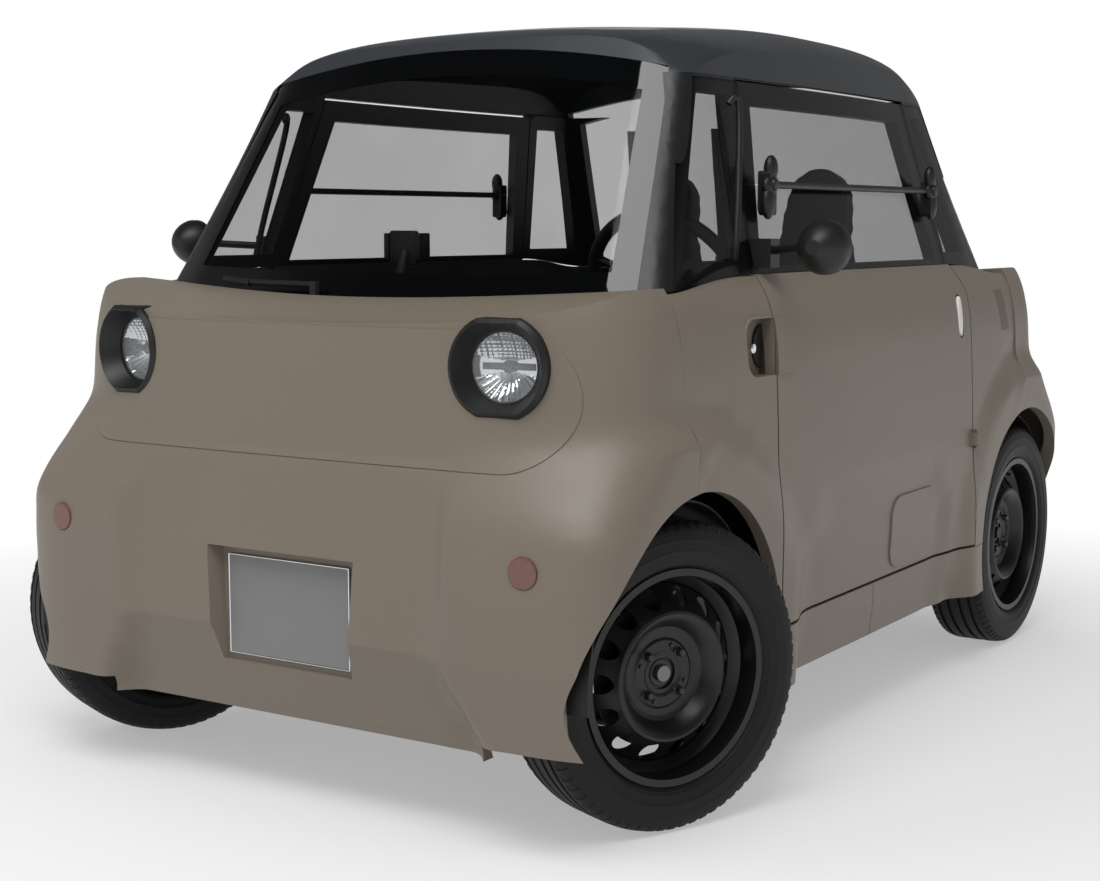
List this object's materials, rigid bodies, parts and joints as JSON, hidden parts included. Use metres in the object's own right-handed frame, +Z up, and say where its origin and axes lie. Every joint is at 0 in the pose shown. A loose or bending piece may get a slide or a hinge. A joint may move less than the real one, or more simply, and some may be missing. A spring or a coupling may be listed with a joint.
{
  "type": "two-seat electric microcar",
  "caption": "Short boxy microcar with like front and rear mouldings, round lamps, opposed side doors, dark glazed cabin and steel wheels turned as parked",
  "frame": {"origin": "on the ground below the centre of the car's box", "axes": "+Z up, front towards -Y, the car's left is +X"},
  "size_m": [1.65, 2.408, 1.492],
  "materials": {
    "body_shell": "satin through-coloured moulding",
    "dark_frame": "satin black",
    "roof_shell": "satin dark grey",
    "dark_glass": "tinted",
    "black_plastic": "fine grain",
    "inner_plastic": "grained",
    "grip_plastic": "soft grain",
    "frame_steel": "satin black paint",
    "cast_housing": "as cast",
    "rim_black": "satin black paint",
    "tyre": "matt rubber",
    "lamp_lens": "clear",
    "tail_lens": "gloss red",
    "marker_lens": "gloss",
    "plate_grey": "satin",
    "seat_cover": "woven"
  },
  "bodies": {
    "car": {"arch_liners": "inner_plastic", "battery_box": "frame_steel", "cabin_frame": "dark_frame", "chassis_frame": "frame_steel", "cowls": "dark_frame", "dashboard": "inner_plastic", "drive_motor": "cast_housing", "floor_pan": "inner_plastic", "front_bulkhead": "inner_plastic", "front_moulding": "body_shell", "front_suspension": "frame_steel", "headlamps": "lamp_lens", "lamp_bezels": "black_plastic", "marker_lamps": "marker_lens", "plates": "plate_grey", "quarter_panes": "dark_glass", "rear_bulkhead": "inner_plastic", "rear_moulding": "body_shell", "rear_suspension": "frame_steel", "rear_window": "dark_glass", "roof": "roof_shell", "roof_glass": "dark_glass", "seat_driver": "seat_cover", "seat_passenger": "seat_cover", "seat_plinth": "inner_plastic", "side_panels_left": "body_shell", "side_panels_right": "body_shell", "sills": "body_shell", "steering_column": "inner_plastic", "tail_lamps": "tail_lens", "windscreen": "dark_glass", "wiper": "black_plastic"},
    "door_left": {"door_left": "body_shell", "door_left_glass": "dark_glass", "door_left_fittings": "black_plastic"},
    "door_right": {"door_right": "body_shell", "door_right_glass": "dark_glass", "door_right_fittings": "black_plastic"},
    "steering_wheel": {"steering_wheel": "grip_plastic"},
    "knuckle_left": {"knuckle_left": "cast_housing"},
    "knuckle_right": {"knuckle_right": "cast_housing"},
    "wheel_front_left": {"rim_front_left": "rim_black", "tyre_front_left": "tyre"},
    "wheel_front_right": {"rim_front_right": "rim_black", "tyre_front_right": "tyre"},
    "wheel_rear_left": {"rim_rear_left": "rim_black", "tyre_rear_left": "tyre"},
    "wheel_rear_right": {"rim_rear_right": "rim_black", "tyre_rear_right": "tyre"}
  },
  "joints": [
    {"name": "door_left_hinge", "type": "hinge", "parent": "car", "child": "door_left", "pos_m": [0.691, 0.4945, 0.65], "axis": [0, 0, 1], "range_deg": [0, 70]},
    {"name": "door_right_hinge", "type": "hinge", "parent": "car", "child": "door_right", "pos_m": [-0.691, -0.5445, 0.65], "axis": [0, 0, 1], "range_deg": [0, 70]},
    {"name": "steer_left", "type": "hinge", "parent": "car", "child": "knuckle_left", "pos_m": [0.596, -0.864, 0.277], "axis": [0, 0, 1], "range_deg": [-10, 56]},
    {"name": "steer_right", "type": "hinge", "parent": "car", "child": "knuckle_right", "pos_m": [-0.596, -0.864, 0.277], "axis": [0, 0, 1], "range_deg": [-10.5, 56.5]},
    {"name": "steering_wheel_turn", "type": "hinge", "parent": "car", "child": "steering_wheel", "pos_m": [0.3, -0.3, 0.925], "axis": [0, 0.9135, 0.4067], "range_deg": [-125, 677]},
    {"name": "wheel_front_left_spin", "type": "hinge", "parent": "knuckle_left", "child": "wheel_front_left", "pos_m": [0.596, -0.864, 0.277], "axis": [0.9205, -0.3907, 0], "continuous": true},
    {"name": "wheel_front_right_spin", "type": "hinge", "parent": "knuckle_right", "child": "wheel_front_right", "pos_m": [-0.596, -0.864, 0.277], "axis": [0.9205, -0.3907, 0], "continuous": true},
    {"name": "wheel_rear_left_spin", "type": "hinge", "parent": "car", "child": "wheel_rear_left", "pos_m": [0.596, 0.864, 0.277], "axis": [1, 0, 0], "continuous": true},
    {"name": "wheel_rear_right_spin", "type": "hinge", "parent": "car", "child": "wheel_rear_right", "pos_m": [-0.596, 0.864, 0.277], "axis": [1, 0, 0], "continuous": true}
  ],
  "couplings": [
    {"joint": "steer_right", "follows": "steer_left", "ratio": 1},
    {"joint": "steering_wheel_turn", "follows": "steer_left", "ratio": 12}
  ]
}
